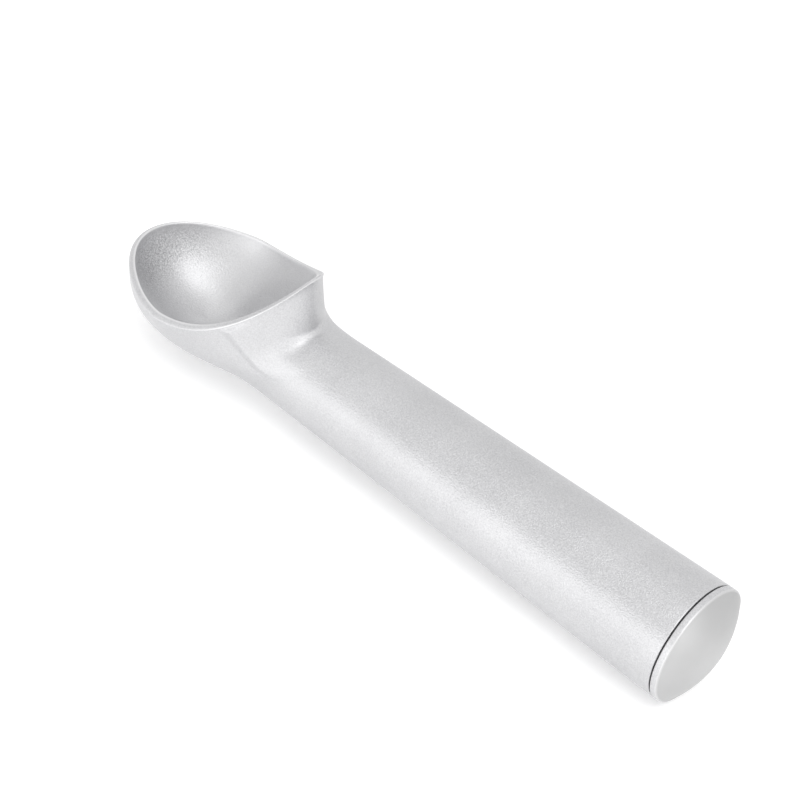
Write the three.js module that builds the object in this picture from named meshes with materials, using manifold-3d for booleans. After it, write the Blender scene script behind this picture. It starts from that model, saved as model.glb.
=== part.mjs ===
// Ice cream scoop: a one-piece aluminium casting with a hollow, liquid-filled handle.
// Millimetres, +Z up, the handle along X with its cap at +X and the bowl open upwards.
import * as THREE from "three";
import { mergeVertices } from "three/addons/utils/BufferGeometryUtils.js";
import Module from "manifold-3d";

// Driving sizes
const OVERALL_LENGTH = 180;
const HANDLE_DIAMETER = 31.6; // at the seam beside the cap
const NECK_DIAMETER = 24.4; // where the taper meets the neck
const BOWL_WIDTH = 40;
const BOWL_LENGTH = 58.8; // along the slope, tip to heel
const TIP_RISE = 5.8; // tip of the rim above the handle axis
const HEEL_RISE = 31; // heel of the rim above the handle axis
const RIM_SAG = 11.8; // dip of the rim between tip and heel
const RIM_SAG_SKEW = 5.8; // moves the dip towards the heel
const LIP = 1.5; // width of the rim's bevel
const HEEL_LIP = 2; // the same at the pointed heel
const LIP_RISE = 1; // height of the bevel's inner edge, which does the scraping, above its outer edge
const EDGE = 0.35; // broken edges

// Teardrop outline, as shares of the bowl's length from the tip and of half its width
const WIDEST_AT = 0.42;
const HEEL_HANDLE = [0.94, 0.33];
const FLANK_HANDLE = 0.76;
const SIDE_HANDLE = 0.29;
const TIP_HANDLE = 0.57;

// Hollow, cap and handle
const HOLLOW_DEPTH = 12.5; // below the rim's level part
const LEVEL_AT = 0.3; // share of the bowl's length where the rim is level
const HOLLOW_DRAFT = 0.34; // how far the hollow's sides lean in
const TIP_DRAFT = 0.16; // the same at the tip, enough for the wall to keep its thickness
const CAP_HEIGHT = 7; // seam to crown
const CAP_BAND = 1.9; // straight part of the cap, before its spherical crown
const SEAM = 0.35; // slit between handle and cap
const GASKET_THICKNESS = 0.2;
const GASKET_RECESS = 0.35; // below the handle's skin
const GASKET_FIT = 0.1; // clearance round the spigot
const WALL = 3.2; // handle wall
const PLUG_LENGTH = 12; // spigot inside the handle
const PLUG_CHAMFER = 1;
const PLUG_ROOM = 1; // left in the bore beyond the spigot
const SEAT_STEP = 0.6; // shoulder in the bore beyond the spigot
const FIT = 0.15; // clearance round the spigot and the fluid
const FLUID_LEVEL = 5.5; // fluid surface above the handle axis
const BORE_END = 8; // metal left between neck corner and bore

// Neck and underside
const FOOT_REACH = 0.9; // how far the neck's foot stands behind the heel, on the centre line
const FLANK_LEAN = 0.25; // backward slope of the wall where the neck's flank ends
const FOOT_FILLET = 2.5; // at the centre of the foot
const FLANK_FILLET = 6.5; // at its ends
const NOSE_ROUND = 3.2; // rounds the wall under the pointed heel
const NOSE_DEPTH = 0.07; // share of the wall over which that rounding comes in
const NECK_TOP = 12; // fillet run behind the heel, along the handle
const BELLY_START = 37; // from the tip back to where the round handle begins, below
const KEEL_DEPTH = 12; // lowest line below the handle axis
const SIDE_DEPTH = 4.5;
const SIDE_TAPER = 0.81;
const TIP_TAPER = 0.95;
const BELLY_ROUND = 0.75;

// Mesh steps
const HALF = 46; // steps from heel to tip
const WALL_STEPS = 7;
const CORNER_STEPS = 10;
const RUN_STEPS = 4;
const HANDLE_STEPS = 5;
const HOLLOW_STEPS = 13;
const TURN = 64; // steps round the turned pieces

// Derived sizes, measured from the seam at x = 0 and the handle axis at z = 0
const handleRadius = HANDLE_DIAMETER / 2;
const neckRadius = NECK_DIAMETER / 2;
const tipX = CAP_HEIGHT - OVERALL_LENGTH;
const rimRun = Math.sqrt(BOWL_LENGTH ** 2 - (HEEL_RISE - TIP_RISE) ** 2);
const heelX = tipX + rimRun;
const neckX = heelX + NECK_TOP;
const bellyX = tipX + BELLY_START;

const wasm = await Module();
wasm.setup();

const mix = THREE.MathUtils.lerp;
const ease = THREE.MathUtils.smoothstep;
const handleRadiusAt = (x) => mix(handleRadius, neckRadius, x / neckX);

// Height of the rim along the bowl: nearly level from the tip, then climbing to the heel.
function rimHeight(x) {
  const u = THREE.MathUtils.clamp((x - tipX) / rimRun, 0, 1);
  const sag = 4 * u * (1 - u) * (RIM_SAG + RIM_SAG_SKEW * (2 * u - 1));
  return mix(TIP_RISE, HEEL_RISE, u) - sag;
}

// Half of a teardrop outline, heel to tip, evenly spaced and laid on the rim's surface.
function rimLine(inset, heelInset, drop) {
  const start = tipX + inset;
  const length = rimRun - inset - heelInset;
  const width = BOWL_WIDTH / 2 - inset;
  const at = (u, v) => new THREE.Vector2(start + u * length, v * width);
  const outline = new THREE.CurvePath();
  const widest = at(WIDEST_AT, 1);
  outline.add(new THREE.CubicBezierCurve(at(1, 0), at(...HEEL_HANDLE), at(FLANK_HANDLE, 1), widest));
  outline.add(new THREE.CubicBezierCurve(widest, at(SIDE_HANDLE, 1), at(0, TIP_HANDLE), at(0, 0)));
  const lift = (p) => new THREE.Vector3(p.x, p.y, rimHeight(p.x) - drop);
  return new THREE.CatmullRomCurve3(outline.getPoints(60).map(lift)).getSpacedPoints(HALF);
}

// The rim's slope in plan beside the heel: distance along the bowl for each millimetre across.
const heelSlope = ((1 - HEEL_HANDLE[0]) * rimRun) / ((HEEL_HANDLE[1] * BOWL_WIDTH) / 2);

// A half line of points becomes a closed ring with its mirror image across y = 0.
function ringOf(half) {
  const mirrored = half.slice(1, -1).reverse().map((p) => new THREE.Vector3(p.x, -p.y, p.z));
  return [...half, ...mirrored];
}

// Skins a row of rings of equal count and closes both ends on a point.
function skin(rings, first, last) {
  const count = rings[0].length;
  const points = [first, ...rings.flat(), last];
  const index = [];
  const at = (ring, k) => 1 + ring * count + (k % count);
  for (let k = 0; k < count; k++) index.push(0, at(0, k + 1), at(0, k));
  for (let r = 0; r + 1 < rings.length; r++) {
    for (let k = 0; k < count; k++) {
      index.push(at(r, k), at(r, k + 1), at(r + 1, k));
      index.push(at(r, k + 1), at(r + 1, k + 1), at(r + 1, k));
    }
  }
  const end = points.length - 1;
  for (let k = 0; k < count; k++) index.push(end, at(rings.length - 1, k), at(rings.length - 1, k + 1));
  const geometry = new THREE.BufferGeometry().setFromPoints(points);
  geometry.setIndex(index);
  return geometry;
}

// A wall from the rim down to its corner, set back under the lip so that the neck's nose is round.
function wallLine(top, bottom, setback) {
  return Array.from({ length: WALL_STEPS + 1 }, (_, k) => {
    const share = (k / WALL_STEPS) ** 1.5;
    const point = top.clone().lerp(bottom, share);
    point.x -= setback * (1 - share) * (1 - Math.exp(-share / NOSE_DEPTH));
    return point;
  });
}

// Flow lines run from the rim, round the neck or the belly, to a slanted ring on the handle.
// Behind, where the rim is narrower than the handle, they turn outwards on a fillet at the neck's foot.
// In front they turn under the bowl.
function flowLines(rim) {
  const widest = rim.reduce((best, p, j) => (p.y > rim[best].y ? j : best), 0);
  const split = rim.findIndex((p) => p.y > 0.97 * neckRadius) - 1;
  const splitAngle = Math.asin(rim[split].y / neckRadius);
  const splitFloor = Math.cos(splitAngle) * neckRadius;
  const footEnd = rim[split].x + FLANK_LEAN * (rim[split].z - splitFloor);
  const middle = rim[widest].x;
  return rim.map((p, j) => {
    const behind = j <= split;
    const side = behind ? 0 : ease(j, split, widest);
    const front = ease(j, widest, HALF);
    const flank = Math.min(p.y / rim[split].y, 1) ** 2;
    const taper = mix(mix(1, SIDE_TAPER, side), TIP_TAPER, front);
    const low = mix(mix(0, -SIDE_DEPTH, side), -KEEL_DEPTH, front);
    const angle = behind
      ? Math.asin(p.y / neckRadius)
      : mix(splitAngle, Math.PI, (j - split) / (HALF - split));
    const floor = behind ? Math.sqrt(neckRadius ** 2 - p.y ** 2) : mix(splitFloor, low, side);
    const footX = behind
      ? mix(heelX + FOOT_REACH, footEnd, flank)
      : mix(middle, p.x, taper) + FLANK_LEAN * (1 - side) * (p.z - floor);
    const corner = new THREE.Vector3(footX, p.y * taper, floor);
    const ringX = mix(neckX, bellyX, (1 - Math.cos(angle)) / 2);
    const radius = handleRadiusAt(ringX);
    const end = new THREE.Vector3(ringX, radius * Math.sin(angle), radius * Math.cos(angle));
    const fillet = mix(FOOT_FILLET, FLANK_FILLET, flank);
    const round = mix(fillet, BELLY_ROUND * corner.distanceTo(p), side);
    const from = corner.clone().lerp(p, Math.min(round / corner.distanceTo(p), 0.95));
    const to = corner.clone().lerp(end, Math.min(round / corner.distanceTo(end), 0.8));
    const setback = heelSlope * (Math.hypot(p.y, NOSE_ROUND) - p.y) * (1 - side);
    return [
      ...wallLine(p, from, setback),
      ...new THREE.QuadraticBezierCurve3(from, corner, to).getPoints(CORNER_STEPS).slice(1),
      ...new THREE.LineCurve3(to, end).getPoints(RUN_STEPS).slice(1),
    ];
  });
}

function handleRing(neckRing, share, x) {
  return neckRing.map((p, j) => {
    const angle = mix(Math.atan2(p.y, p.z), (Math.PI * j) / HALF, share);
    const here = mix(p.x, x, share);
    const radius = handleRadiusAt(here);
    return new THREE.Vector3(here, radius * Math.sin(angle), radius * Math.cos(angle));
  });
}

// The hollow: the lip's inner line shrinks towards the bowl's floor on a rounded section.
function hollowRings(lipLine) {
  const lowRim = rimHeight(mix(tipX, heelX, LEVEL_AT));
  const floor = new THREE.Vector3(mix(tipX, heelX, WIDEST_AT), 0, lowRim - HOLLOW_DEPTH);
  const rings = [];
  for (let k = 1; k < HOLLOW_STEPS; k++) {
    const angle = (k / HOLLOW_STEPS) * (Math.PI / 2);
    const down = Math.sin(angle);
    const ring = lipLine.map((p, j) => {
      const draft = mix(HOLLOW_DRAFT * ease(j, 0, HALF / 4), TIP_DRAFT, ease(j, HALF / 2, HALF));
      const out = Math.cos(angle) - (draft * Math.sin(2 * angle)) / 2;
      return new THREE.Vector3(mix(floor.x, p.x, out), p.y * out, mix(p.z, floor.z, down));
    });
    rings.push(ring);
  }
  return { rings, floor };
}

function castBody() {
  const rim = rimLine(0, 0, EDGE);
  const flows = flowLines(rim);
  const steps = flows[0].length;
  const outer = Array.from({ length: steps }, (_, k) => flows.map((line) => line[k])).reverse();
  const handle = [];
  for (let k = HANDLE_STEPS; k > 0; k--) handle.push(handleRing(outer[0], k / HANDLE_STEPS, -EDGE));
  const butt = Array.from({ length: HALF + 1 }, (_, j) => {
    const angle = (Math.PI * j) / HALF;
    const radius = handleRadius - EDGE;
    return new THREE.Vector3(0, radius * Math.sin(angle), radius * Math.cos(angle));
  });
  const lipOuter = rimLine(EDGE, EDGE, (-LIP_RISE * EDGE) / LIP);
  const lipInner = rimLine(LIP - EDGE, HEEL_LIP - EDGE, -LIP_RISE);
  const mouth = rimLine(LIP, HEEL_LIP, EDGE - LIP_RISE);
  const hollow = hollowRings(mouth);
  const halves = [butt, ...handle, ...outer, lipOuter, lipInner, mouth, ...hollow.rings];
  return skin(halves.map(ringOf), new THREE.Vector3(0, 0, 0), hollow.floor);
}

// Turned pieces: a profile of (radius, distance along the handle), revolved about X.
function turned(profile) {
  return new THREE.LatheGeometry(profile, TURN).rotateZ(-Math.PI / 2);
}

const boreMouth = handleRadius - WALL;
const boreSeat = boreMouth - SEAT_STEP;
const boreTip = neckRadius - WALL;
const boreDeep = neckX + BORE_END;

// The bore, or with a clearance the fluid inside it.
function boreProfile(clear, open, plugSeat) {
  const end = boreDeep + clear;
  const tip = boreTip - clear;
  const nose = new THREE.Path();
  nose.moveTo(0, end);
  nose.absellipse(0, end + tip / 2, tip, tip / 2, -Math.PI / 2, 0, false);
  const points = nose.getPoints(8);
  points[0].x = 0;
  points.push(new THREE.Vector2(boreSeat - clear, -plugSeat));
  if (open > 0) points.push(new THREE.Vector2(boreMouth, -plugSeat), new THREE.Vector2(boreMouth, open));
  points.push(new THREE.Vector2(0, open > 0 ? open : -plugSeat));
  return points;
}

// The cap: a chamfered spigot, a short band that lines up with the handle, and a spherical crown.
function capProfile() {
  const plug = boreMouth - FIT;
  const crownFoot = SEAM + CAP_BAND;
  const crownRadius = handleRadius - EDGE;
  const crownHeight = CAP_HEIGHT - crownFoot;
  const sphere = (crownRadius ** 2 + crownHeight ** 2) / (2 * crownHeight);
  const line = new THREE.Path();
  line.moveTo(0, -PLUG_LENGTH);
  line.lineTo(plug - PLUG_CHAMFER, -PLUG_LENGTH);
  line.lineTo(plug, PLUG_CHAMFER - PLUG_LENGTH);
  line.lineTo(plug, SEAM);
  line.lineTo(handleRadius - EDGE, SEAM);
  line.lineTo(handleRadius, SEAM + EDGE);
  line.lineTo(handleRadius, crownFoot - EDGE);
  line.absarc(0, CAP_HEIGHT - sphere, sphere, Math.acos(crownRadius / sphere), Math.PI / 2, false);
  const points = line.getPoints(7);
  points[points.length - 1].x = 0;
  return points;
}

function gasketProfile() {
  const inner = boreMouth - FIT + GASKET_FIT;
  const outer = handleRadius - GASKET_RECESS;
  const low = (SEAM - GASKET_THICKNESS) / 2;
  const high = low + GASKET_THICKNESS;
  return [
    new THREE.Vector2(inner, low),
    new THREE.Vector2(outer, low),
    new THREE.Vector2(outer, high),
    new THREE.Vector2(inner, high),
    new THREE.Vector2(inner, low),
  ];
}

// Solids for cutting, by manifold-3d.
function solid(geometry) {
  const plain = geometry.clone();
  plain.deleteAttribute("normal");
  plain.deleteAttribute("uv");
  const merged = mergeVertices(plain, 1e-4);
  return new wasm.Manifold(
    new wasm.Mesh({
      numProp: 3,
      vertProperties: new Float32Array(merged.attributes.position.array),
      triVerts: new Uint32Array(merged.index.array),
    }),
  );
}

function geometryOf(made) {
  const mesh = made.getMesh();
  const geometry = new THREE.BufferGeometry();
  geometry.setAttribute("position", new THREE.BufferAttribute(mesh.vertProperties, 3));
  geometry.setIndex(new THREE.BufferAttribute(mesh.triVerts, 1));
  geometry.computeVertexNormals();
  return geometry;
}

const scoop = new THREE.Group();
scoop.name = "ice_cream_scoop";
const alongHandle = new THREE.Group();
alongHandle.position.set(OVERALL_LENGTH / 2 - CAP_HEIGHT, 0, handleRadius);
scoop.add(alongHandle);

function addPiece(name, geometry, color, metalness, roughness) {
  const material = new THREE.MeshStandardMaterial({ color, metalness, roughness });
  const mesh = new THREE.Mesh(geometry, material);
  mesh.name = name;
  alongHandle.add(mesh);
}

const plugSeat = PLUG_LENGTH + PLUG_ROOM;
const bore = solid(turned(boreProfile(0, 1, plugSeat)));
addPiece("scoop_body", geometryOf(solid(castBody()).subtract(bore)), 0xc9c9cc, 0.9, 0.4);

addPiece("end_cap", turned(capProfile()), 0xcfcdca, 0.9, 0.35);

addPiece("cap_gasket", turned(gasketProfile()), 0x1c1c1e, 0, 0.8);

// The fluid lies level with an air space above it.
const airSpace = new THREE.BoxGeometry(OVERALL_LENGTH, HANDLE_DIAMETER, HANDLE_DIAMETER);
airSpace.translate(-OVERALL_LENGTH / 2, 0, FLUID_LEVEL + HANDLE_DIAMETER / 2);
const fill = solid(turned(boreProfile(FIT, 0, plugSeat + FIT)));
addPiece("heat_fluid", geometryOf(fill.subtract(solid(airSpace))), 0x9fb8c8, 0, 0.1);

export default scoop;
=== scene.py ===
# %% [markdown]
# # An ice cream scoop in satin cast aluminium
# The real scoop is one casting: a teardrop bowl, a neck like a ship's bow and a round hollow handle.
# A domed cap plugs the handle, and a thin black gasket shows as a dark line in front of it.
# The imported solids are loaded first and stay as the fixed frame. The main sizes here are theirs,
# and the visual model adds what a finer mesh can show: rounded ends, a valley, wear with painted highlights
# and grain.

# %% Load the frame
import math
import bpy
import numpy as np
from mathutils import Matrix, Vector


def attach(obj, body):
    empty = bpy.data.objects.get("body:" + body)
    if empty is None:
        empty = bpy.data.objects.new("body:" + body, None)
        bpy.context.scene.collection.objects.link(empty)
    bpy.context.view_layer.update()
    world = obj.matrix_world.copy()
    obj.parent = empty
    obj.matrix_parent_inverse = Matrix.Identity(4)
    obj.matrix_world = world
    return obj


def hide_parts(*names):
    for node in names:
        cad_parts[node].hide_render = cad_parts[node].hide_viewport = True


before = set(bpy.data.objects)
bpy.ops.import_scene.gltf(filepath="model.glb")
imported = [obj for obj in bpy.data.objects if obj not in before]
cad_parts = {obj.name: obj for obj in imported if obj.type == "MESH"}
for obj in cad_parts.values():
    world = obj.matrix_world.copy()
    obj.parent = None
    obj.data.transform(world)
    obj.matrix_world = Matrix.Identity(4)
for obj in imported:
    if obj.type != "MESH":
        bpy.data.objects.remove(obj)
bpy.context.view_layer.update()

# %% [markdown]
# ## Sizes
# The sizes are the ones that shape the solids, in millimetres, with the seam beside the cap at x = 0
# and the handle's axis at z = 0. One step at the end moves everything to the shared frame in metres.
# Keeping the two apart makes the formulas below easy to compare with a drawing of the scoop.

# %% Sizes of the casting
overall_length = 180.0
cap_height = 7.0
handle_radius = 15.8
neck_radius = 12.2
neck_reach = 12.0
bowl_length = 58.8
bowl_half_width = 19.997
belly_reach = 37.0
tip_rise = 5.8
heel_rise = 31.0
edge = 0.35
millimetre = 0.001
tip_x = cap_height - overall_length
rim_run = math.sqrt(bowl_length ** 2 - (heel_rise - tip_rise) ** 2)
heel_x = tip_x + rim_run
neck_x = heel_x + neck_reach
belly_x = tip_x + belly_reach


def to_frame(points):
    """Millimetres from the seam become metres in the shared frame."""
    moved = np.asarray(points, float) + [overall_length / 2 - cap_height, 0.0, handle_radius]
    return moved * millimetre


print("bowl runs", round(rim_run, 1), "mm from tip to heel in plan")

# %% [markdown]
# ## The rim
# The rim is a teardrop in plan: round at the tip, straight-sided and pointed at the heel.
# Seen from the side it stays nearly level and then climbs to the heel, whose very end is rounded off.
# A curve could be drawn by hand in Edit Mode, but it takes many points to keep it smooth.
# Two Bezier arcs for the plan and one cubic for the height need only a few numbers.

# %% Blends, arcs and lengths
def mix(a, b, t):
    """From a at t = 0 to b at t = 1."""
    return a + (b - a) * t


def ease(value, low, high):
    """A smooth step from 0 to 1 between low and high."""
    t = np.clip((value - low) / (high - low), 0.0, 1.0)
    return t * t * (3.0 - 2.0 * t)


def bezier(corners, count):
    t = np.linspace(0.0, 1.0, count)[:, None]
    a, b, c, d = np.asarray(corners, float)
    return (1 - t) ** 3 * a + 3 * t * (1 - t) ** 2 * b + 3 * t * t * (1 - t) * c + t ** 3 * d


def distance_along(line):
    """How far each point of a line, or of each line in a net, lies from the line's start."""
    steps = np.linalg.norm(np.diff(line, axis=-2), axis=-1)
    return np.concatenate([np.zeros(steps.shape[:-1] + (1,)), np.cumsum(steps, axis=-1)], axis=-1)


print("a quarter of the way, the smooth step is at", ease(0.25, 0.0, 1.0))

# %% Rim outline
half_steps = 200
rim_place = np.arange(half_steps + 1)
rim_sag = 11.8
rim_sag_skew = 5.8
rim_allowance = 0.1
arc_points = 300
heel_drop = 0.6
heel_drop_start = 1
heel_drop_end = 11


def rim_height(x):
    u = np.clip((x - tip_x) / rim_run, 0.0, 1.0)
    return mix(tip_rise, heel_rise, u) - 4 * u * (1 - u) * (rim_sag + rim_sag_skew * (2 * u - 1))


def rim_line(inset, heel_inset, drop):
    """Half of the rim from heel to tip, evenly spaced, moved in by an inset and down by a drop."""
    heel_arc = bezier([(1, 0), (0.94, 0.33), (0.76, 1), (0.42, 1)], arc_points)
    tip_arc = bezier([(0.42, 1), (0.29, 1), (0, 0.57), (0, 0)], arc_points)
    plan = np.vstack([heel_arc, tip_arc[1:]])
    x = tip_x + inset + plan[:, 0] * (rim_run - inset - heel_inset)
    y = plan[:, 1] * (bowl_half_width - inset)
    line = np.column_stack([x, y, rim_height(x) - drop])
    run = distance_along(line)
    even = np.linspace(0.0, run[-1], half_steps + 1)
    return np.column_stack([np.interp(even, run, line[:, k]) for k in range(3)])


heel_round = heel_drop * (1 - ease(rim_place, heel_drop_start, heel_drop_end))
rim = rim_line(0.0, 0.0, edge + rim_allowance)
rim[:, 2] -= heel_round
print("rim half line", round(float(distance_along(rim)[-1]), 1), "mm")

# %% [markdown]
# ## The outside of bowl, neck and handle
# A casting has no seams between bowl, neck and handle, so one net of lines covers all three.
# Each line starts on the rim. Behind the bowl it drops down the bow-shaped wall and turns outwards on a
# fillet to run along the handle. In front it turns under the bowl instead.
# Blending separate bowl and handle meshes would leave a boolean seam, which this way avoids.

# %% A line with a rounded corner
drop_points = 17
bend_points = 25
run_points = 11
most_of_drop = 0.95
most_of_run = 0.8
crowding_at_rim = 1.5
setback_start = 0.07


def turn_corner(start, corner, end, reach, setback):
    """A drop set back under the lip, a rounded corner and a straight run, as one row of points."""
    into = min(reach / np.linalg.norm(corner - start), most_of_drop)
    out = min(reach / np.linalg.norm(end - corner), most_of_run)
    first = mix(corner, start, into)
    last = mix(corner, end, out)
    t = np.linspace(0.0, 1.0, drop_points)[:, None] ** crowding_at_rim
    drop = mix(start, first, t) - setback * (1 - t) * (1 - np.exp(-t / setback_start)) * [1, 0, 0]
    t = np.linspace(0.0, 1.0, bend_points)[1:, None]
    bend = (1 - t) ** 2 * first + 2 * t * (1 - t) * corner + t * t * last
    t = np.linspace(0.0, 1.0, run_points)[1:, None]
    run = mix(last, end, t)
    return np.vstack([drop, bend, run])


corner_column = drop_points + bend_points // 2 - 1
print("each line has its corner at point", corner_column)

# %% Where the neck parts from the bowl
flank_share = 0.97
wall_lean = 0.25
widest = int(rim[:, 1].argmax())
split = int(np.argmax(rim[:, 1] > flank_share * neck_radius)) - 1
split_angle = math.asin(rim[split, 1] / neck_radius)
split_floor = math.cos(split_angle) * neck_radius
foot_end = rim[split, 0] + wall_lean * (rim[split, 2] - split_floor)
print("lines up to", split, "run onto the handle, and the bowl is widest at line", widest)

# %% Lines from the rim to the handle
neck_fillet = 6.5
foot_fillet = 1.6
foot_lean = 0.9
nose_round = 3.2
nose_setback = 0.48
side_taper = 0.81
front_taper = 0.95
side_floor = -4.5
front_floor = -12.0
belly_bend = 0.75


def handle_radius_at(x):
    return mix(handle_radius, neck_radius, x / neck_x)


def flow_line(j, point):
    """One line of the net. Up to the split it runs onto the handle, and after it under the bowl."""
    behind = j <= split
    side = 0.0 if behind else ease(j, split, widest)
    front = ease(j, widest, half_steps)
    taper = mix(mix(1.0, side_taper, side), front_taper, front)
    bluntness = min(point[1] / rim[split, 1], 1.0) ** 2
    if behind:
        angle = math.asin(point[1] / neck_radius)
        floor_z = math.sqrt(neck_radius ** 2 - point[1] ** 2)
        corner_x = mix(heel_x + foot_lean, foot_end, bluntness)
    else:
        angle = mix(split_angle, math.pi, (j - split) / (half_steps - split))
        floor_z = mix(split_floor, mix(mix(0.0, side_floor, side), front_floor, front), side)
        lean = wall_lean * (1 - side) * (point[2] - floor_z)
        corner_x = mix(rim[widest, 0], point[0], taper) + lean
    corner = np.array([corner_x, point[1] * taper, floor_z])
    ring_x = mix(neck_x, belly_x, (1 - math.cos(angle)) / 2)
    radius = handle_radius_at(ring_x)
    end = np.array([ring_x, radius * math.sin(angle), radius * math.cos(angle)])
    fillet = mix(foot_fillet, neck_fillet, bluntness)
    reach = mix(fillet, belly_bend * np.linalg.norm(corner - point), side)
    setback = nose_setback * (math.hypot(point[1], nose_round) - point[1]) * (1 - side)
    return turn_corner(point, corner, end, reach, setback)


net = np.array([flow_line(j, point) for j, point in enumerate(rim)])
print("net of", net.shape[0], "lines with", net.shape[1], "points each")

# %% [markdown]
# ## Softening the net
# Sand casting and blasting leave no hard break where the neck's flank meets the belly.
# The net is relaxed many times towards its neighbours' middle, with the rim and the handle ring held,
# which rounds the changes of direction by a millimetre or two and keeps the overall shape.
# A Smooth modifier works alike all over. Here the heel hardly moves, so its foot keeps a tight corner.

# %% Relax the net
relax_rounds = 60
relax_amount = 0.6
heel_share = 0.1
heel_hold = 0.4 * split
heel_free = 1.1 * split
across_share = 0.74
along_share = 0.26


def close_ring(half):
    """Half a ring and its mirror image on the other side, as one closed ring."""
    return np.concatenate([half, (half * [1, -1, 1])[-2:0:-1]])


def steps_from_heel(count):
    """How many steps each point of a closed ring lies from the heel, the shorter way round."""
    return np.abs((np.arange(count) + half_steps) % count - half_steps)


def relax(net):
    whole = close_ring(net)
    freedom = ease(steps_from_heel(len(whole)), heel_hold, heel_free)
    amount = relax_amount * mix(heel_share, 1.0, freedom)[:, None, None]
    for _ in range(relax_rounds):
        across = (np.roll(whole, 1, axis=0) + np.roll(whole, -1, axis=0)) / 2
        along = whole.copy()
        along[:, 1:-1] = (whole[:, :-2] + whole[:, 2:]) / 2
        moved = mix(whole, across_share * across + along_share * along, amount)
        whole[:, 1:-1] = moved[:, 1:-1]
    return whole[: len(net)]


net = relax(net)
print("lowest point of the casting", round(float(net[..., 2].min()), 2), "mm from the axis")

# %% [markdown]
# ## The valley beside the belly
# From the rim a shallow valley runs down to the neck's foot, where the belly meets the flank.
# A crease brush in Sculpt Mode would press it in by feel. Here the net moves in along its normals,
# most on one slanting line and less to both sides, so the depth is a size in millimetres.

# %% Press the valley
valley_x = -134.6
valley_foot = split + 5
valley_depth = 1.0
valley_flank_reach = 8.0
valley_belly_reach = 2.6
valley_slant = 0.75
valley_sharpness = 1.25
valley_start = 1.5
valley_end = 1.6


def press_valley(net, top, foot):
    """A valley from the rim at one line of the net down to the corner of another."""
    along = np.gradient(net, axis=1)
    across = np.gradient(net, axis=0)
    normal = np.cross(across, along)
    normal /= np.linalg.norm(normal, axis=2, keepdims=True) + 1e-12
    run = distance_along(net)
    share = run / run[:, corner_column, None]
    bottom = mix(top, foot, np.clip(share, 0.0, 1.0) ** valley_slant)
    away = (np.arange(len(net))[:, None] - bottom) * np.linalg.norm(across, axis=2)
    slope = np.where(away > 0, away / valley_belly_reach, -away / valley_flank_reach)
    fade = ease(run, 0.0, valley_start) * (1 - ease(share, 1.0, valley_end))
    press = valley_depth * np.clip(1 - slope, 0.0, 1.0) ** valley_sharpness * fade
    return net - press[..., None] * normal


valley_top = int(np.argmin(np.abs(rim[: widest + 1, 0] - valley_x)))
net = press_valley(net, valley_top, valley_foot)
print("the valley runs from line", valley_top, "to line", valley_foot)

# %% [markdown]
# ## The lip
# The lip is a narrow bevel that rises from its outer edge to its inner one, with both edges rounded.
# The outer edge is blunt in front and at the heel's end, and crisp along the neck.
# A Bevel modifier rounds every edge alike, so the lip is made of rings, each at its own inset from the rim.
# Each ring also gets its wear, because scraping frozen ice cream rubs the blasted skin off the edges first;
# the brighter colour of that wear also paints the highlights along the lip.

# %% Rings of the lip
lip = 1.5
heel_lip = 2.0
lip_rise = 1.0
lip_middle = 0.97
blunt_edge = 0.8
blunt_start = valley_top - 10
blunt_end = valley_top + 30
inner_edge_end = 0.5
edge_points = 5
middle_wear_and_highlight = 0.5
inner_wear_and_highlight = 0.2


def lip_ring(inset, drop):
    """A line on the bevel, which rises from its outer edge to its inner one."""
    return rim_line(inset, inset * heel_lip / lip, drop + rim_allowance - lip_rise * inset / lip)


def lip_rings(blunt):
    """Rings over the bevel from the outside in, each with its wear and painted highlight."""
    made = []
    for turn in np.linspace(0.0, math.pi / 2, edge_points + 1)[1:]:
        drop = edge * (1 - math.sin(turn))
        crisp = lip_ring(edge * (1 - math.cos(turn)), drop)
        round_edge = lip_ring(blunt_edge * (1 - math.cos(turn)), drop)
        ring = mix(crisp, round_edge, blunt[:, None])
        ring[:, 2] -= heel_round * (1 - math.sin(turn))
        # The outer edge's wear is brightest halfway round its rounding, as a painted highlight line, and
        # none where the edge is blunt.
        made.append((ring, (1 - blunt) * math.sin(2 * turn)))
    made.append((lip_ring(lip_middle, 0.0), middle_wear_and_highlight * blunt))
    for turn in np.linspace(math.pi / 2, inner_edge_end, edge_points):
        ring = lip_ring(lip - edge * (1 - math.cos(turn)), edge * (1 - math.sin(turn)))
        made.append((ring, mix(inner_wear_and_highlight, 1.0, blunt)))
    return [ring for ring, wear_and_highlight_marks in made], [wear_and_highlight_marks for ring, wear_and_highlight_marks in made]


blunt = ease(rim_place, blunt_start, blunt_end)
blunt = np.maximum(blunt, heel_round / heel_drop)
lips, lip_wear_and_highlight = lip_rings(blunt)
print("lip", len(lips), "rings")

# %% [markdown]
# ## The hollow
# Inside the lip the hollow sinks on a rounded section to the bowl's floor, like the mould's core.
# Its wall leans in with a draft, so that the core could be drawn, and the lean evens out at the floor.
# The rim's pointed heel doesn't reach the floor: the rings lose it as they go down.
# Subdividing a coarse bowl would round the heel at the rim too, so the rings are smoothed one by one.

# %% Rings of the hollow
hollow_depth = 12.5
hollow_draft = 0.34
tip_draft = 0.16
hollow_steps = 40
floor_share = 0.42
depth_share = 0.3
lean_fade = 0.7
heel_rounds = 420
heel_amount = 0.5
heel_near = half_steps / 4
heel_far = half_steps * 0.6


def round_heel(rings):
    """Lower rings lose the heel's point little by little, as a core with a round nose leaves them."""
    whole = np.array([close_ring(ring) for ring in rings])
    deep = ease(np.arange(len(rings)), 0, len(rings) / 3)
    near_heel = 1 - ease(steps_from_heel(whole.shape[1]), heel_near, heel_far)
    share = (deep[:, None] * near_heel)[..., None]
    for _ in range(heel_rounds):
        beside = (np.roll(whole, 1, axis=1) + np.roll(whole, -1, axis=1)) / 2
        whole = mix(whole, beside, heel_amount * share)
    return list(whole[:, : half_steps + 1])


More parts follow.
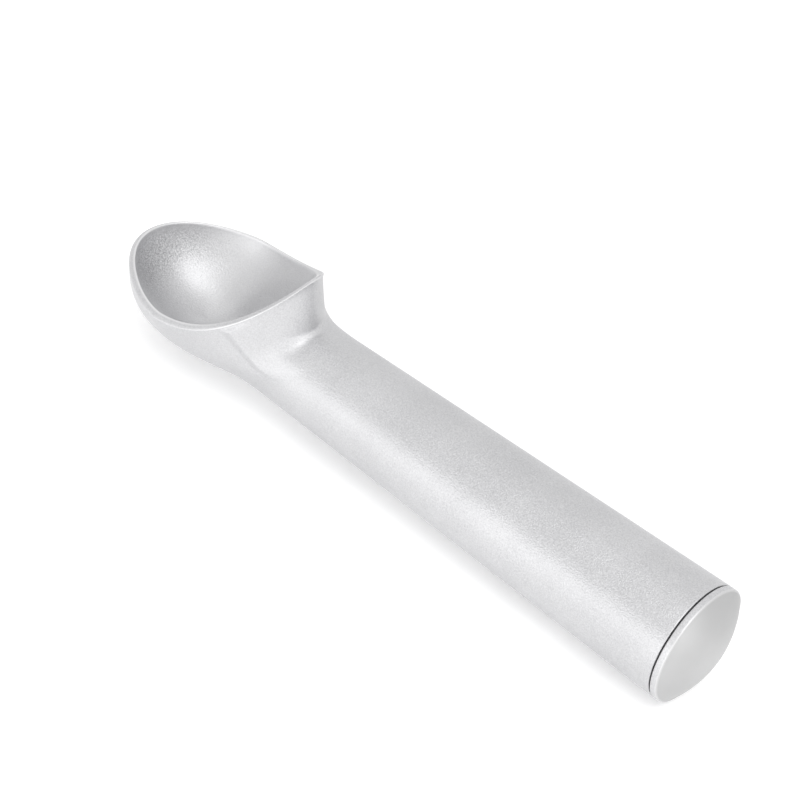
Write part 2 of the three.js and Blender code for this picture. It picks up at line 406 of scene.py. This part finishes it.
def hollow_rings(mouth):
    floor_x = mix(tip_x, heel_x, floor_share)
    floor_z = float(rim_height(mix(tip_x, heel_x, depth_share))) - hollow_depth
    heel_draft = hollow_draft * ease(rim_place, 0, heel_near)
    draft = mix(heel_draft, tip_draft, ease(rim_place, half_steps / 2, half_steps))
    made = []
    for angle in np.linspace(0.0, math.pi / 2, hollow_steps + 1)[1:-1]:
        lean = mix(draft, tip_draft, ease(angle, lean_fade, math.pi / 2))
        out = math.cos(angle) - lean * math.sin(2 * angle) / 2
        x = mix(floor_x, mouth[:, 0], out)
        z = mix(mouth[:, 2], floor_z, math.sin(angle))
        made.append(np.column_stack([x, mouth[:, 1] * out, z]))
    return round_heel(made), np.array([floor_x, 0.0, floor_z])


hollow, bowl_floor = hollow_rings(lips[-1])
print("hollow", len(hollow), "rings, floor", round(float(bowl_floor[2]), 1), "mm from the axis")

# %% [markdown]
# ## The handle and its bore
# The handle is a plain cone, and a blind bore in it makes room for the fluid and for the cap's spigot.
# Boring it with a boolean would cut the mesh into slivers.
# Here every ring has the same count of points, so one skin can cover outside, butt and bore.

# %% Rings of the handle and the bore
wall = 3.2
bore_end_gap = 8.0
bore_pole = 0.1
bore_end_points = 8
seat_depth = 13.0
seat_step = 0.6
butt_end = 0.3
butt_points = 4
handle_steps = 30


def round_ring(x, radius):
    angle = np.linspace(0.0, math.pi, half_steps + 1)
    return np.column_stack([np.full_like(angle, x), radius * np.sin(angle), radius * np.cos(angle)])


def handle_rings(neck_ring):
    neck_angle = np.arctan2(neck_ring[:, 1], neck_ring[:, 2])
    even_angle = np.linspace(0.0, math.pi, half_steps + 1)
    made = []
    for share in np.linspace(0.0, 1.0, handle_steps + 1)[1:]:
        angle = mix(neck_angle, even_angle, share)
        x = mix(neck_ring[:, 0], -edge, share)
        radius = handle_radius_at(x)
        made.append(np.column_stack([x, radius * np.sin(angle), radius * np.cos(angle)]))
    return made


bore_mouth = handle_radius - wall
bore_tip = neck_radius - wall
bore_end = neck_x + bore_end_gap
bore = [round_ring(bore_end + bore_tip / 2 * (1 - math.cos(t)), bore_tip * math.sin(t))
        for t in np.linspace(bore_pole, math.pi / 2, bore_end_points)]
bore += [round_ring(-seat_depth, bore_mouth - seat_step), round_ring(-seat_depth, bore_mouth)]
bore += [round_ring(0.0, bore_mouth)]
butt = [round_ring(-edge * (1 - math.sin(t)), handle_radius - edge * (1 - math.cos(t)))
        for t in np.linspace(math.pi / 2, butt_end, butt_points)]
handle = handle_rings(net[:, -1])
print("handle", len(handle), "rings, bore", len(bore), "rings")

# %% [markdown]
# ## One skin
# The casting is one piece of metal, so its rings become one closed mesh, from the end of the bore
# over the butt, the handle, the outside of the bowl and the lip to the floor of the hollow.
# Joined primitives would show their seams in the soft reflections.

# %% Skin all rings into the casting
casting_sharp = 40


def show_mesh(name, mesh, sharp_degrees):
    """A smooth object from a mesh, with its sharp edges kept."""
    mesh.shade_smooth()
    mesh.set_sharp_from_angle(angle=math.radians(sharp_degrees))
    piece = bpy.data.objects.new(name, mesh)
    bpy.context.scene.collection.objects.link(piece)
    return piece


def skin_faces(ring_count, around):
    """Quads between neighbouring rings, and a fan to a single point at either end."""
    faces = []
    for r in range(ring_count - 1):
        for k in range(around):
            a = 1 + r * around + k
            b = 1 + r * around + (k + 1) % around
            faces.append((a, b, b + around, a + around))
    last = 1 + ring_count * around
    top = 1 + (ring_count - 1) * around
    for k in range(around):
        faces.append((0, 1 + (k + 1) % around, 1 + k))
        faces.append((last, top + k, top + (k + 1) % around))
    return faces


outside = [net[:, k] for k in range(net.shape[1] - 2, -1, -1)]
rings = [close_ring(half) for half in bore + butt + handle[::-1] + outside + lips + hollow]
points = np.vstack([[bore_end, 0.0, 0.0]] + rings + [bowl_floor])
skin_mesh = bpy.data.meshes.new("scoop_casting")
skin_mesh.from_pydata([tuple(v) for v in to_frame(points)], [], skin_faces(len(rings), len(rings[0])))
skin_mesh.validate()
skin_mesh.update()
casting = show_mesh("scoop_casting", skin_mesh, casting_sharp)
print("casting", len(casting.data.polygons), "faces")

# %% [markdown]
# ## Wear, painted highlights and grain
# Scraping rubs the blasted skin off the lip first and polishes the heel half of the hollow a little; the
# brighter colour in both places is also a painted highlight.
# The beads leave a coarser skin on the bowl's tip wall and on the handle, and a finer one on the neck.
# Weight Paint could hold this by hand. Numbers kept on the points follow the rings exactly,
# and the finish can read them as attributes.

# %% Mark the wear with its painted highlights, the dents and the coarse skin
# Polish of the hollow's heel half, which also paints it brighter as a painted highlight.
heel_polish_and_highlight = 0.35
tip_coarse = 0.9
handle_coarse = 0.1
neck_dents = 0.65
hollow_dents = 0.56
handle_dents = 0.9
tip_start = 0.6 * half_steps
tip_end = 0.95 * half_steps
coarse_top = 5
coarse_fade = 0.3 * len(hollow)
coarse_end = 0.65 * len(hollow)
neck_fade = 0.5 * len(handle)


def mark_points(name, marks):
    """Keep one number for each point of the skin, given for every half ring."""
    whole = np.concatenate([marks, marks[:, -2:0:-1]], axis=1)
    layer = casting.data.attributes.new(name, "FLOAT", "POINT")
    layer.data.foreach_set("value", np.concatenate([[0.0], whole.ravel(), [0.0]]).astype(np.float32))


hollow_part = slice(len(rings) - len(hollow), len(rings))
lip_part = slice(hollow_part.start - len(lips), hollow_part.start)
handle_part = slice(len(bore) + len(butt), len(bore) + len(butt) + len(handle))
tip_side = ease(rim_place, tip_start, tip_end)
down = np.arange(len(hollow))
upper_wall = ease(down, 0, coarse_top) * (1 - ease(down, coarse_fade, coarse_end))
from_neck = ease(len(handle) - np.arange(len(handle)), 0, neck_fade)
wear_and_highlight_marks = np.zeros((len(rings), half_steps + 1))
# Wear on the lip, which is also a painted highlight.
wear_and_highlight_marks[lip_part] = lip_wear_and_highlight
# Polish in the hollow's heel half, also a painted highlight.
wear_and_highlight_marks[hollow_part] = heel_polish_and_highlight * (1 - tip_side)
mark_points("rim_wear", wear_and_highlight_marks)
dents = np.full_like(wear_and_highlight_marks, neck_dents)
dents[hollow_part] = hollow_dents
dents[handle_part] = mix(neck_dents, handle_dents, from_neck)[:, None]
mark_points("dent_depth", dents)
coarse = np.zeros_like(wear_and_highlight_marks)
coarse[hollow_part] = tip_coarse * upper_wall[:, None] * tip_side
coarse[handle_part] = handle_coarse * from_neck[:, None]
mark_points("coarse_skin", coarse)
print("marks", [layer.name for layer in casting.data.attributes if layer.data_type == "FLOAT"])

# %% [markdown]
# ## Sums of sockets
# Both kinds of node tree below hold a lot of arithmetic, and arithmetic reads best as arithmetic.
# So a small class wraps a socket and overloads the operators: each sum adds its Math node.
# One method adds any other node. Wiring by hand in the node editor gives the same trees.

# %% A socket that can be used in sums
class Wire:
    def __init__(self, tree, socket):
        self.tree = tree
        self.socket = socket

    def feed(self, socket, value):
        """Link a wire to a socket, or set a plain value on it."""
        if isinstance(value, Wire):
            self.tree.links.new(value.socket, socket)
        else:
            socket.default_value = value

    def add(self, kind, settings=None, inputs=None, output=0):
        """Add a node, give it its settings and inputs, and return one of its outputs."""
        node = self.tree.nodes.new(kind)
        for name, value in (settings or {}).items():
            if name == "stops":
                for stop, (position, colour) in zip(node.color_ramp.elements, value):
                    stop.position = position
                    stop.color = colour
            else:
                setattr(node, name, value)
        for name, value in (inputs or {}).items():
            self.feed(node.inputs[name], value)
        return Wire(self.tree, node.outputs[output])

    def sum(self, operation, a, b=0.0):
        return self.add("ShaderNodeMath", {"operation": operation}, {0: a, 1: b})

    def __add__(self, other):
        return self.sum("ADD", self, other)

    def __radd__(self, other):
        return self.sum("ADD", other, self)

    def __sub__(self, other):
        return self.sum("SUBTRACT", self, other)

    def __rsub__(self, other):
        return self.sum("SUBTRACT", other, self)

    def __mul__(self, other):
        return self.sum("MULTIPLY", self, other)

    def __rmul__(self, other):
        return self.sum("MULTIPLY", other, self)

    def __truediv__(self, other):
        return self.sum("DIVIDE", self, other)

    def __rtruediv__(self, other):
        return self.sum("DIVIDE", other, self)

    def __mod__(self, other):
        return self.sum("MODULO", self, other)

    def __rmod__(self, other):
        return self.sum("MODULO", other, self)


print("socket sums ready")

# %% [markdown]
# ## Turned pieces with Geometry Nodes
# The cap and the gasket are round about the handle's axis, so each follows one rule: a profile carried
# round. A Geometry Nodes tree takes the profile's points, lays them along every column of a grid and bends
# the grid into a closed turn. The Spin tool would do it by hand, but a tree can turn any profile.
# The bend leaves the faces of a profile that runs towards the cap on its outside pointing inwards.
# So the tree flips them, after the points that meet are welded.

# %% A tree that turns a profile
weld_distance = 1e-6


def turning_tree():
    tree = bpy.data.node_groups.new("Turn a profile", "GeometryNodeTree")
    sockets = (("Profile", "INPUT", "Geometry"), ("Steps", "INPUT", "Int"), ("Finish", "INPUT", "Material"),
               ("Piece", "OUTPUT", "Geometry"))
    for name, way, kind in sockets:
        tree.interface.new_socket(name, in_out=way, socket_type="NodeSocket" + kind)
    given = tree.nodes.new("NodeGroupInput")
    profile, steps, finish = (Wire(tree, given.outputs[name]) for name in ("Profile", "Steps", "Finish"))
    rows = profile.add("GeometryNodeAttributeDomainSize", {"component": "MESH"}, {"Geometry": profile},
                       "Point Count")
    grid = profile.add("GeometryNodeMeshGrid", inputs={"Vertices X": steps + 1, "Vertices Y": rows})
    index = profile.add("GeometryNodeInputIndex")
    position = profile.add("GeometryNodeInputPosition")
    column = index.sum("FLOOR", (index + 0.5) / rows)
    turn = column / steps * (2 * math.pi)
    spot = profile.add("GeometryNodeSampleIndex", {"data_type": "FLOAT_VECTOR", "domain": "POINT"}, {
        "Geometry": profile, "Value": position, "Index": index % rows}, "Value")
    along = spot.add("ShaderNodeSeparateXYZ", inputs={"Vector": spot}, output="X")
    radius = spot.add("ShaderNodeSeparateXYZ", inputs={"Vector": spot}, output="Z")
    place = spot.add("ShaderNodeCombineXYZ", inputs={
        "X": along, "Y": radius * turn.sum("SINE", turn), "Z": radius * turn.sum("COSINE", turn)})
    bent = grid.add("GeometryNodeSetPosition", inputs={"Geometry": grid, "Position": place})
    welded = bent.add("GeometryNodeMergeByDistance", inputs={"Geometry": bent, "Distance": weld_distance})
    outward = welded.add("GeometryNodeFlipFaces", inputs={"Mesh": welded})
    real = outward.add("GeometryNodeRealizeInstances", inputs={"Geometry": outward})
    piece = real.add("GeometryNodeSetMaterial", inputs={"Geometry": real, "Material": finish})
    piece.feed(tree.nodes.new("NodeGroupOutput").inputs["Piece"], piece)
    return tree


turning = turning_tree()
print("turning tree with", len(turning.nodes), "nodes")

# %% [markdown]
# ## Tools for the finishes
# Every finish is a Principled shader whose colour, roughness and bump change over the surface.
# The same few nodes come back in each: a noise, a ramp, a blend of two colours, a mark and a bump.
# A function for each keeps a finish down to the few lines that make it what it is.
# Patterns read Object coordinates, so they stay on the piece without any unwrapping.

# %% Nodes that every finish uses
bump_distance = 0.0001


def new_finish(name):
    """A material with its shader and a wire that carries the piece's own coordinates."""
    material = bpy.data.materials.new(name)
    material.use_nodes = True
    tree = material.node_tree
    shader = tree.nodes["Principled BSDF"]
    place = Wire(tree, tree.nodes.new("ShaderNodeTexCoord").outputs["Object"])
    return material, shader, place


def tint(level, blue=0.0):
    """A grey with a little more blue."""
    return (level, level, level + blue, 1.0)


def noise(place, scale, detail):
    return place.add("ShaderNodeTexNoise", inputs={"Vector": place, "Scale": scale, "Detail": detail})


def ramp(value, *stops):
    return value.add("ShaderNodeValToRGB", {"stops": stops}, {"Fac": value})


def blend(factor, a, b):
    return factor.add("ShaderNodeMix", {"data_type": "RGBA"}, {"Factor": factor, "A": a, "B": b}, 2)


def rise(value, low, high):
    """A smooth step from 0 to 1 between low and high."""
    return value.add("ShaderNodeMapRange", {"interpolation_type": "SMOOTHSTEP"}, {
        "Value": value, "From Min": low, "From Max": high})


def mark(place, name):
    return place.add("ShaderNodeAttribute", {"attribute_name": name}, output=2)


def bumped(strength, height):
    return height.add("ShaderNodeBump", inputs={
        "Strength": strength, "Distance": bump_distance, "Height": height})


def dress(shader, place, sockets):
    for name, value in sockets.items():
        place.feed(shader.inputs[name], value)


print("tools ready, dents up to", bump_distance / millimetre, "mm deep")

# %% [markdown]
# ## Satin cast aluminium
# Blasting with fine beads leaves a frosted skin: thousands of tiny dents that scatter the light.
# Two fine patterns give the dents as bump, one of them also changes the roughness, and a broad noise
# gives the faint clouding of a casting. Modelling the dents would take millions of faces.
# Where the dents are shallow the skin is rougher instead. On the worn lip they fade and the metal shines,
# and the brighter colour there and in the hollow's heel half is also a painted highlight.

# %% The casting's finish
grain_scale = 2800.0
dent_scale = 2600.0


def satin_casting(name):
    material, shader, place = new_finish(name)
    grain = noise(place, grain_scale, 1.0)
    pits = place.add("ShaderNodeTexVoronoi", inputs={"Vector": place, "Scale": dent_scale})
    worn_and_highlit = mark(place, "rim_wear")
    depth = mark(place, "dent_depth")
    tone = 0.3 * noise(place, 55.0, 3.0) + 0.7 * grain
    fine = ramp(tone, (0.3, tint(0.51, 0.01)), (0.7, tint(0.645, 0.01)))
    speckled = ramp(tone, (0.3, tint(0.30, 0.01)), (0.7, tint(0.78, 0.01)))
    skin = blend(mark(place, "coarse_skin"), fine, speckled)
    dress(shader, place, {
        # The blend towards a light grey is wear and a painted highlight.
        "Base Color": blend(worn_and_highlit * 0.8, skin, tint(0.76, 0.005)),
        "Roughness": 0.435 + 0.26 * grain - 0.12 * worn_and_highlit - 0.15 * depth,
        "Normal": bumped(depth * (1.0 - 0.8 * worn_and_highlit), grain + pits * 0.5),
        "Metallic": 1.0})
    return material


casting_finish = satin_casting("satin cast aluminium")
casting.data.materials.append(casting_finish)
print("casting finish nodes", len(casting_finish.node_tree.nodes))

# %% [markdown]
# ## The cap's finish
# The cap has a blasted band like the handle, a painted highlight along the band's edge next to the crown,
# and a smooth, tumbled crown whose darker grey is also painted shade. Three materials on three sets of
# faces would meet in hard lines.
# One material that changes along the axis blends them, because the cap's sizes say where the edge is.

# %% Tumbled cap
seam = 0.35
cap_band = 1.9
crown_foot = seam + cap_band
band_edge = float(to_frame([(crown_foot, 0.0, 0.0)])[0][0])
highlight_start = 0.0005
highlight_end = 0.0002


def tumbled_cap(name):
    material, shader, place = new_finish(name)
    grain = noise(place, grain_scale, 1.0)
    cloud = noise(place, 70.0, 2.0)
    along = place.add("ShaderNodeSeparateXYZ", inputs={"Vector": place}, output="X")
    crown = rise(along, band_edge - highlight_end, band_edge + highlight_end)
    # A narrow strip of the band next to the crown is painted brighter: a painted highlight on its rounded
    # edge, where the bump is also weaker.
    painted_edge_highlight = rise(along, band_edge - highlight_start, band_edge - highlight_end)
    blasted = ramp(grain, (0.3, tint(0.53, 0.01)), (0.7, tint(0.65, 0.01)))
    # The crown's grey is darker than the band's: a smoother finish, and painted shade on the side that
    # faces away from the light.
    smooth = ramp(cloud, (0.3, tint(0.46, 0.002)), (0.7, tint(0.51, 0.002)))
    band = blend(0.6 * painted_edge_highlight, blasted, tint(0.70))
    dress(shader, place, {
        "Base Color": blend(crown, band, smooth),
        "Roughness": 0.44 + 0.1 * cloud,
        "Normal": bumped(0.6 - 0.5 * painted_edge_highlight, grain),
        "Metallic": 1.0})
    return material


cap_finish = tumbled_cap("tumbled cap")
print("cap finish nodes", len(cap_finish.node_tree.nodes))

# %% [markdown]
# ## The gasket's finish and the fluid's
# The gasket is black rubber, dull and slightly dusty. The fluid is a clear, faintly blue mix that nobody
# sees, because the cap seals it in. A refracting shader would be slow to render, so it is a glossy blue.

# %% Gasket and fluid finishes
def dull_rubber(name):
    material, shader, place = new_finish(name)
    dust = noise(place, 900.0, 3.0)
    skin = ramp(dust, (0.35, tint(0.012, 0.001)), (0.75, tint(0.035, 0.003)))
    dress(shader, place, {"Base Color": skin, "Roughness": 0.65 + 0.2 * dust})
    return material


def still_fluid(name):
    material, shader, place = new_finish(name)
    swirl = noise(place, 120.0, 1.0)
    skin = ramp(swirl, (0.3, (0.34, 0.47, 0.56, 1.0)), (0.7, (0.40, 0.54, 0.62, 1.0)))
    dress(shader, place, {"Base Color": skin, "Roughness": 0.08})
    return material


gasket_finish = dull_rubber("gasket rubber")
fluid_finish = still_fluid("handle fluid")
print("finishes", gasket_finish.name, fluid_finish.name)

# %% [markdown]
# ## The cap
# The domed plug closes the handle. Its spigot sits in the bore, its edge towards the seam is rounded,
# its band is straight and its crown is part of a sphere. Each point of its profile is a distance along
# the handle and a radius, and the tree turns them into the piece.

# %% Turn the cap
turn_steps = 128
spigot_length = 12.0
spigot_bevel = 1.0
spigot_gap = 0.15
crown_points = 40
cap_sharp = 35


def turned_piece(name, profile, finish, sharp_degrees):
    rows = to_frame([(x, 0.0, 0.0) for x, radius in profile])
    spots = [(row[0], 0.0, radius * millimetre) for row, (x, radius) in zip(rows, profile)]
    mesh = bpy.data.meshes.new(name + "_profile")
    mesh.from_pydata(spots, [(k, k + 1) for k in range(len(spots) - 1)], [])
    draft = bpy.data.objects.new(name + "_profile", mesh)
    bpy.context.scene.collection.objects.link(draft)
    turn = draft.modifiers.new("turn", "NODES")
    turn.node_group = turning
    values = {"Steps": turn_steps, "Finish": finish}
    for item in turning.interface.items_tree:
        if item.in_out == "INPUT" and item.name in values:
            turn[item.identifier] = values[item.name]
    bpy.context.view_layer.update()
    made = bpy.data.meshes.new_from_object(draft.evaluated_get(bpy.context.evaluated_depsgraph_get()))
    bpy.data.objects.remove(draft)
    made.transform(Matrix.Translation((0.0, 0.0, handle_radius * millimetre)))
    made.name = name
    return show_mesh(name, made, sharp_degrees)


plug = bore_mouth - spigot_gap
crown_radius = handle_radius - edge
crown_height = cap_height - crown_foot
sphere = (crown_radius ** 2 + crown_height ** 2) / (2 * crown_height)
crown_start = math.acos(crown_radius / sphere)
cap_profile = [(-spigot_length, 0.0), (-spigot_length, plug - spigot_bevel)]
cap_profile += [(spigot_bevel - spigot_length, plug), (seam, plug)]
cap_profile += [(seam + edge * (1 - math.cos(t)), handle_radius - edge * (1 - math.sin(t)))
                for t in np.linspace(0.0, math.pi / 2, edge_points)]
cap_profile += [(crown_foot - edge * (1 - t) ** 2, handle_radius - edge * t ** 2)
                for t in np.linspace(0.0, 1.0, edge_points)]
cap_profile += [(cap_height - sphere * (1 - math.sin(t)), sphere * math.cos(t))
                for t in np.linspace(crown_start, math.pi / 2, crown_points)[1:]]
end_cap = turned_piece("domed_cap", cap_profile, cap_finish, cap_sharp)
print("cap", len(end_cap.data.polygons), "faces")

# %% [markdown]
# ## The gasket
# A thin rubber ring seals the seam and shows as the dark line beside the cap.
# A torus would be too round for a ring cut from sheet, so its profile is a flat with bevelled outer edges.

# %% Turn the gasket
gasket_thickness = 0.2
gasket_bevel = 0.06
gasket_gap = 0.1
gasket_setback = 0.35
gasket_sharp = 50
gasket_low = (seam - gasket_thickness) / 2
gasket_high = gasket_low + gasket_thickness
ring_in = plug + gasket_gap
ring_out = handle_radius - gasket_setback
gasket_profile = [(gasket_low, ring_in), (gasket_low, ring_out - gasket_bevel)]
gasket_profile += [(gasket_low + gasket_bevel, ring_out), (gasket_high - gasket_bevel, ring_out)]
gasket_profile += [(gasket_high, ring_out - gasket_bevel), (gasket_high, ring_in), (gasket_low, ring_in)]
gasket = turned_piece("gasket_ring", gasket_profile, gasket_finish, gasket_sharp)
print("gasket", len(gasket.data.polygons), "faces")

# %% [markdown]
# ## Into the frame
# Each piece takes the place of its solid and rides on the one body, since nothing on the scoop moves.
# The fluid stays as its solid, sealed inside the handle, with a finish of its own.

# %% Ride and replace
for piece, node, slot in ((casting, "scoop_body", "cast_aluminium"), (end_cap, "end_cap", "cap_aluminium"),
                          (gasket, "cap_gasket", "gasket_rubber")):
    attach(piece, "root")
    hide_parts(node)
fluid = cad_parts["heat_fluid"]
fluid.data.materials.clear()
fluid.data.materials.append(fluid_finish)
print("pieces ride on root")

# %% [markdown]
# ## The floor
# The scoop lies on plain white paper. A light table's faint glow keeps the paper white round the object,
# and the glow fades behind it, where the paper is also painted a darker grey as painted shade, so that the
# upper side of the metal doesn't lose its grey.
# A white world alone would leave a grey floor.

# %% Floor
floor_half = 4
paper_glow = 0.18
fade_start = 0.015
fade_end = 0.05
white = tint(1.0)
black = tint(0.0)
corners = [(-floor_half, -floor_half, 0), (floor_half, -floor_half, 0)]
corners += [(floor_half, floor_half, 0), (-floor_half, floor_half, 0)]
floor_mesh = bpy.data.meshes.new("floor")
floor_mesh.from_pydata(corners, [], [(0, 1, 2, 3)])
floor = bpy.data.objects.new("floor", floor_mesh)
bpy.context.scene.collection.objects.link(floor)


def lit_paper(name):
    material, shader, place = new_finish(name)
    sheet = ramp(noise(place, 30.0, 2.0), (0.3, tint(0.93)), (0.7, tint(0.95)))
    behind = place.add("ShaderNodeSeparateXYZ", inputs={"Vector": place}, output="Y")
    # fade also turns the paper a darker grey behind the object: painted shade where the glow fades.
    fade = rise(behind, fade_start, fade_end)
    dress(shader, place, {
        "Base Color": blend(fade, sheet, tint(0.87)),
        "Emission Color": blend(fade, white, black),
        "Emission Strength": paper_glow,
        "Roughness": 0.9})
    return material


floor_mesh.materials.append(lit_paper("white paper"))
print("floor ready")

# %% [markdown]
# ## The light
# Satin metal shows the light that it reflects, so three large soft boxes draw the bands on the handle:
# a long low one in front, one above and one on the cap's side. A white world fills the rest.
# Small lamps would leave hard spots that blasted metal doesn't have in a studio.

# %% Light
world_strength = 1.05
aim = Vector((0, 0, 0.02))
world = bpy.data.worlds.new("studio")
bpy.context.scene.world = world
world.use_nodes = True
background = world.node_tree.nodes["Background"]
background.inputs["Color"].default_value = white
background.inputs["Strength"].default_value = world_strength


def soft_box(name, place, size, watts):
    lamp = bpy.data.lights.new(name, "AREA")
    lamp.shape = "RECTANGLE"
    lamp.size, lamp.size_y = size
    lamp.energy = watts
    box = bpy.data.objects.new(name, lamp)
    box.location = place
    box.rotation_euler = (aim - Vector(place)).to_track_quat("-Z", "Y").to_euler()
    bpy.context.scene.collection.objects.link(box)


soft_box("front box", (-0.15, -1.2, 0.24), (1.8, 0.45), 2.9)
soft_box("top box", (0.42, -0.3, 1.05), (0.6, 0.6), 2.8)
soft_box("right box", (1.18, -0.2, 0.36), (1.0, 0.7), 2.6)
print("three soft boxes")

# %% [markdown]
# ## The camera
# A long lens far away gives the flat perspective of a catalogue picture.
# A camera can be placed by eye in the viewport. This one's direction, turn and distance were fitted
# to the outlines of the photographed scoop, so they are given as angles and lengths from the seam's centre.

# %% Camera
azimuth = math.radians(31.32)
elevation = math.radians(44.91)
roll = math.radians(12.23)
left_of_seam = 0.0679
above_seam = 0.05621
distance = 1.39924
sensor_width = 36.0
focal_pixels = 6000
picture_pixels = 800
level = math.cos(elevation)
back = Vector((math.sin(azimuth) * level, -math.cos(azimuth) * level, math.sin(elevation)))
right = Vector((math.cos(azimuth), math.sin(azimuth), 0.0))
up = back.cross(right)
across = math.cos(roll) * right + math.sin(roll) * up
upward = math.cos(roll) * up - math.sin(roll) * right
seam_centre = Vector(to_frame([(0.0, 0.0, 0.0)])[0])
lens = bpy.data.cameras.new("camera")
lens.sensor_width = sensor_width
lens.lens = sensor_width * focal_pixels / picture_pixels
lens.clip_end = 20.0
camera = bpy.data.objects.new("camera", lens)
camera.matrix_world = Matrix((across, upward, back)).transposed().to_4x4()
camera.location = seam_centre - left_of_seam * across + above_seam * upward + distance * back
bpy.context.scene.collection.objects.link(camera)
bpy.context.scene.camera = camera
bpy.context.scene.view_settings.view_transform = "Standard"
print("camera at", [round(v, 3) for v in camera.location])
